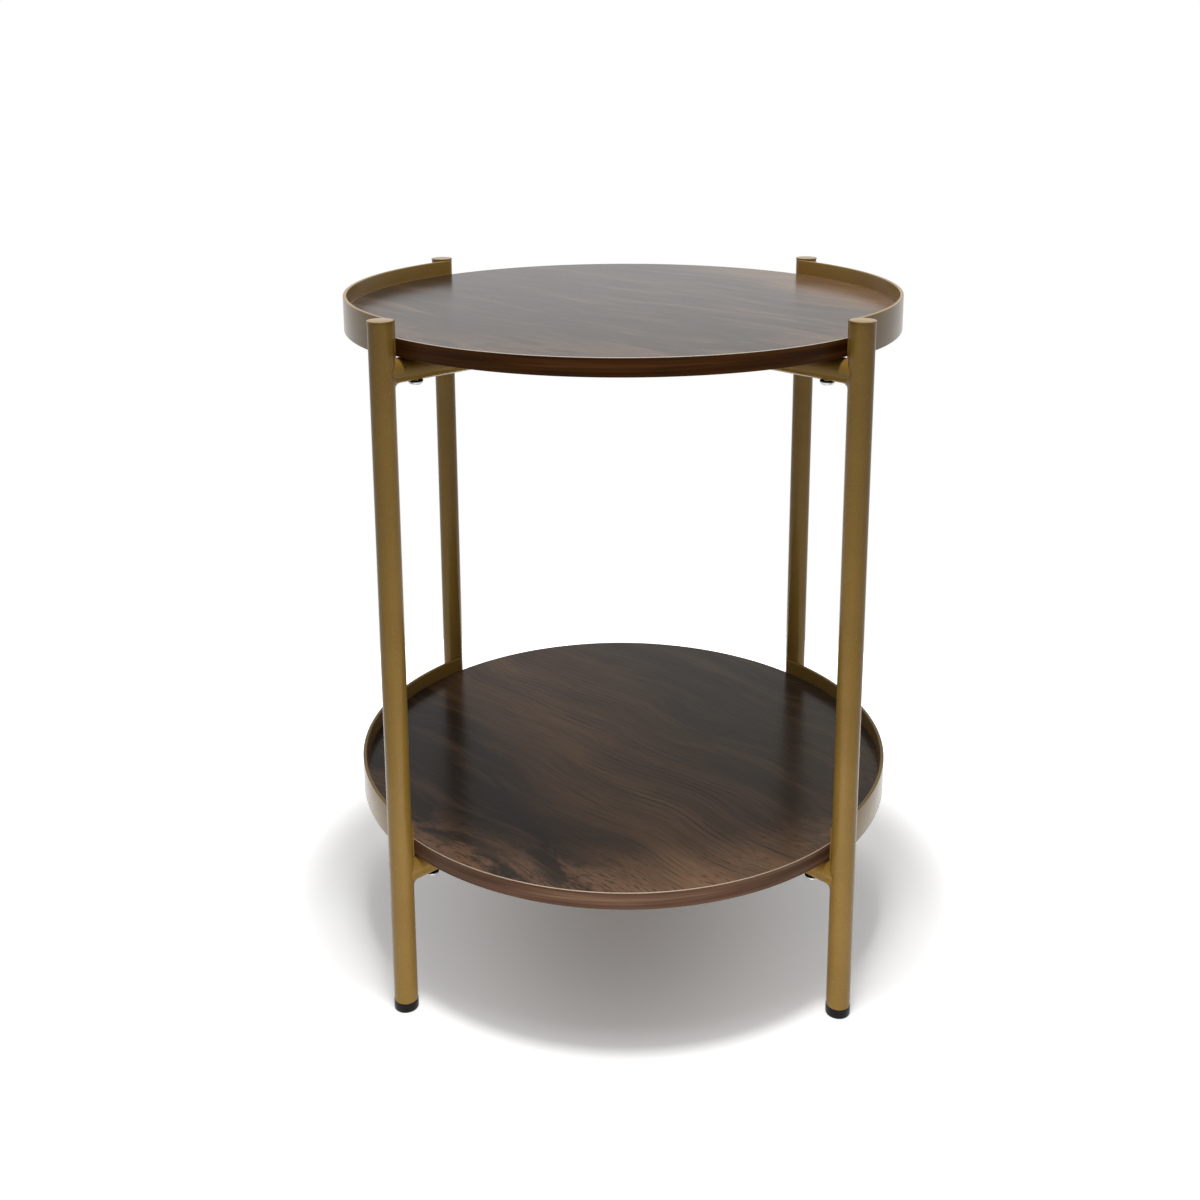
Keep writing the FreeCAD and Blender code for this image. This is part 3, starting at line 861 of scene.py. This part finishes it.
def makeBolts(tier):
    shank, headRadius = plainMm["bolt"] / 2 * mm, bolts["headMm"] / 2 * mm
    socket, headHeight = bolts["socketMm"] / 2 * mm, bolts["headHeightMm"] * mm
    flat = bolts["flatShare"] * socket
    heads, washers = [], []
    for (x, y), bottom, top in boltAxes(tier):
        washerTop = bottom + plainMm["boltHeadHeight"] * mm
        washerBottom = washerTop - bolts["washerMm"] * mm
        # the washer is a ring round the shank
        ring = roundedBar((shank, washerBottom), (plainMm["boltHead"] / 2 * mm, washerTop),
                          bolts["washerRimMm"] * mm)
        washers.append(turned(ring, (x, y), bolts["steps"], True))
        # the head, from the tip of the shank over its seat and its domed face, an ellipse's quarter,
        # to the socket's floor. Rings are round, r, but inside the socket they are a hexagon,
        # r / cos((a mod 60) - 30)
        rise = np.linspace(0, 0.5 * math.pi, bolts["domeRows"])
        domeR = flat + (headRadius - flat) * np.cos(rise)
        domeH = washerBottom - headHeight * (bolts["rimShare"] + (1 - bolts["rimShare"]) * np.sin(rise))
        floor = domeH[-1] + bolts["socketDepthMm"] * mm
        radii = np.concatenate([[0, shank, shank, headRadius], domeR, [socket, socket, 0]])
        heights = np.concatenate([[top, top, washerBottom, washerBottom], domeH,
                                  [domeH[-1], floor, floor + bolts["drillPointMm"] * mm]])
        hexed = np.zeros(len(radii), bool)
        hexed[-3:-1] = True      # the socket's mouth and its floor
        angle = fullTurn(bolts["steps"])[:, None]
        sixth = np.mod(angle, math.pi / 3) - math.pi / 6
        r = np.where(hexed[None, :], radii / np.cos(sixth), radii + 0 * angle)
        grid = np.stack([x + r * np.cos(angle), y + r * np.sin(angle), heights + 0 * angle], -1)
        heads.append((grid.reshape(-1, 3), gridFaces(bolts["steps"], len(radii), True, False)))
    screws = makePiece(tier + "_board_bolt_screws", *joined(heads), zinc, bolts["creaseDeg"])
    finishPiece(screws, "zinc_steel", tier + "_board_bolts")
    finishPiece(makePiece(tier + "_board_bolt_washers", *joined(washers), rubber), "black_plastic")


for tier in tiers:
    makeBoard(tier)
    for side in ("right", "left"):
        makeRail(tier, side)
    for name in crossTubes["to"]:
        makeCrossTube(tier, name)
    makeLegWelds(tier)
    makeCrossWelds(tier)
    makeRailWelds(tier)
    makeBolts(tier)
    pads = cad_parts[tier + "_board_pads"]
    pads.data.materials.clear()
    pads.data.materials.append(rubber)
    print(tier, "tier made")
for corner in corners:
    makeLeg(corner)
makeCaps()
makeFeet()
print("legs made")


# Studio: a pale floor in an even pale room, one soft lamp overhead, and a low card of light in front
# of the table and one behind

studio = {
    "floorRadius": 0.65,
    "floorSteps": 96,
    "floorColour": "#f6f6f6",
    # what the eye, a mirroring surface or glass sees added to the lit floor: so much under the table,
    # so much more out to nearFade's radii in metres, and again out to farFade's, where all shadow ends
    "glow": (0.13, 0.16, 0.45),
    "nearFade": (0.19, 0.24),
    "farFade": (0.24, 0.34),
    "glowSide": 0.85,        # at the sides the radii are counted as this much of the way out
    "sideGlow": 0.14,        # how much more it is at sideReach to the left and right
    "sideReach": 0.20,
    "roomHigh": 0.54,        # light of the room from straight above; it fades to none at the horizon
}

# place and size in metres, power in watts. The eye doesn't see them, and gloss shows the first alone
lamps = {
    "overhead_lamp": {"place": (0.0, -0.41, 2.58), "size": 0.36, "power": 35.0, "inGloss": True},
    "front_card": {"place": (0.0, -0.62, 0.11), "size": 0.20, "power": 1.15, "inGloss": False},
    "back_card": {"place": (0.0, 0.62, 0.11), "size": 0.20, "power": 1.15, "inGloss": False},
}


def seenDirectly(tree):
    # 1 where the eye, a mirroring surface or glass looks at the material, 0 where it only gives light
    ray = addNode(tree, "ShaderNodeLightPath")
    mirrored = addNode(tree, "ShaderNodeMath", {0: ray.outputs["Is Glossy Ray"],
                                                1: ray.outputs["Is Transmission Ray"]}, operation="MAXIMUM")
    return addNode(tree, "ShaderNodeMath", {0: mirrored.outputs["Value"], 1: ray.outputs["Is Camera Ray"]},
                   operation="MAXIMUM").outputs["Value"]


def makeFloor():
    # a disc: R (cos a, sin a, 0)
    angle = fullTurn(studio["floorSteps"])
    rim = np.stack([np.cos(angle), np.sin(angle), 0 * angle], -1) * studio["floorRadius"]
    mesh = bpy.data.meshes.new("floor")
    mesh.from_pydata(rim.tolist(), [], [list(range(len(rim)))])
    floor = bpy.data.objects.new("floor", mesh)
    bpy.context.scene.collection.objects.link(floor)
    material, tree = newMaterial("pale_floor")
    place = addNode(tree, "ShaderNodeTexCoord").outputs["Object"]
    drawnIn = addNode(tree, "ShaderNodeVectorMath", {0: place, 1: (studio["glowSide"], 1.0, 1.0)},
                      operation="MULTIPLY")
    away = addNode(tree, "ShaderNodeVectorMath", {0: drawnIn.outputs["Vector"]}, operation="LENGTH")
    base, near, far = studio["glow"]
    fades = [addNode(tree, "ShaderNodeMapRange", {
        "Value": away.outputs["Value"], "From Min": studio[fade][0], "From Max": studio[fade][1],
        "To Min": low, "To Max": high}, interpolation_type="SMOOTHSTEP").outputs["Result"]
        for fade, low, high in (("nearFade", base, base + near), ("farFade", 0.0, far))]
    glow = addNode(tree, "ShaderNodeMath", {0: fades[0], 1: fades[1]})
    # 1 at the middle and at twice sideReach, -1 at sideReach
    sideways = addNode(tree, "ShaderNodeSeparateXYZ", {"Vector": place}).outputs["X"]
    swing = addNode(tree, "ShaderNodeMath", {0: sideways, 1: math.pi / studio["sideReach"]},
                    operation="MULTIPLY")
    swing = addNode(tree, "ShaderNodeMath", {0: swing.outputs["Value"]}, operation="COSINE")
    glow = addNode(tree, "ShaderNodeMath", {0: swing.outputs["Value"], 1: -studio["sideGlow"] / 2,
                                            2: glow.outputs["Value"]}, operation="MULTIPLY_ADD")
    seen = addNode(tree, "ShaderNodeMath", {0: glow.outputs["Value"], 1: seenDirectly(tree)},
                   operation="MULTIPLY")
    lit = addNode(tree, "ShaderNodeBsdfDiffuse", {"Color": linearColour(studio["floorColour"])})
    added = addNode(tree, "ShaderNodeEmission", {"Strength": seen.outputs["Value"]})
    both = addNode(tree, "ShaderNodeAddShader", {0: lit.outputs["BSDF"], 1: added.outputs["Emission"]})
    addNode(tree, "ShaderNodeOutputMaterial", {"Surface": both.outputs["Shader"]})
    mesh.materials.append(material)


def makeRoom():
    world = bpy.data.worlds.new("pale_room")
    world.use_nodes = True
    tree = world.node_tree
    tree.nodes.clear()
    way = addNode(tree, "ShaderNodeTexCoord").outputs["Generated"]
    height = addNode(tree, "ShaderNodeSeparateXYZ", {"Vector": way}).outputs["Z"]
    light = addNode(tree, "ShaderNodeMapRange", {"Value": height, "To Max": studio["roomHigh"]})
    level = addNode(tree, "ShaderNodeMapRange", {"Value": seenDirectly(tree),
                                                 "To Min": light.outputs["Result"], "To Max": 1.0})
    shader = addNode(tree, "ShaderNodeBackground", {"Color": linearColour("#ffffff"),
                                                    "Strength": level.outputs["Result"]})
    addNode(tree, "ShaderNodeOutputWorld", {"Surface": shader.outputs["Background"]})
    bpy.context.scene.world = world


def makeLamp(name):
    # a disc of light that faces the middle of the table
    light = bpy.data.lights.new(name, "AREA")
    light.shape = "DISK"
    light.size = lamps[name]["size"]
    light.energy = lamps[name]["power"]
    lamp = bpy.data.objects.new(name, light)
    lamp.location = lamps[name]["place"]
    towards = Vector((0.0, 0.0, boardHigh[2] / 2)) - lamp.location
    lamp.rotation_euler = towards.to_track_quat("-Z", "Y").to_euler()
    lamp.visible_camera = False
    lamp.visible_glossy = lamps[name]["inGloss"]
    bpy.context.scene.collection.objects.link(lamp)


viewpoint = {
    "placeMm": (9.2, -1204.4, 784.8),
    "headingDeg": -1.687,
    "tiltDeg": 12.417,
    "rollDeg": -0.324,
    "lensMm": 41.29,
    "sensorMm": 36.0,
    "shift": (0.0060, -0.1919),
}


def makeCamera():
    data = bpy.data.cameras.new("camera")
    data.lens = viewpoint["lensMm"]
    data.sensor_width = viewpoint["sensorMm"]
    data.shift_x, data.shift_y = viewpoint["shift"]
    camera = bpy.data.objects.new("camera", data)
    bpy.context.scene.collection.objects.link(camera)
    heading, tilt, roll = (math.radians(viewpoint[key]) for key in ("headingDeg", "tiltDeg", "rollDeg"))
    camera.matrix_world = (Matrix.Translation([v * mm for v in viewpoint["placeMm"]])
                           @ Matrix.Rotation(-heading, 4, "Z")
                           @ Matrix.Rotation(math.pi / 2 - tilt, 4, "X")
                           @ Matrix.Rotation(roll, 4, "Z"))
    bpy.context.scene.camera = camera


makeFloor()
makeRoom()
for name in lamps:
    makeLamp(name)
makeCamera()
bpy.context.scene.view_settings.view_transform = "Standard"
print("studio made")
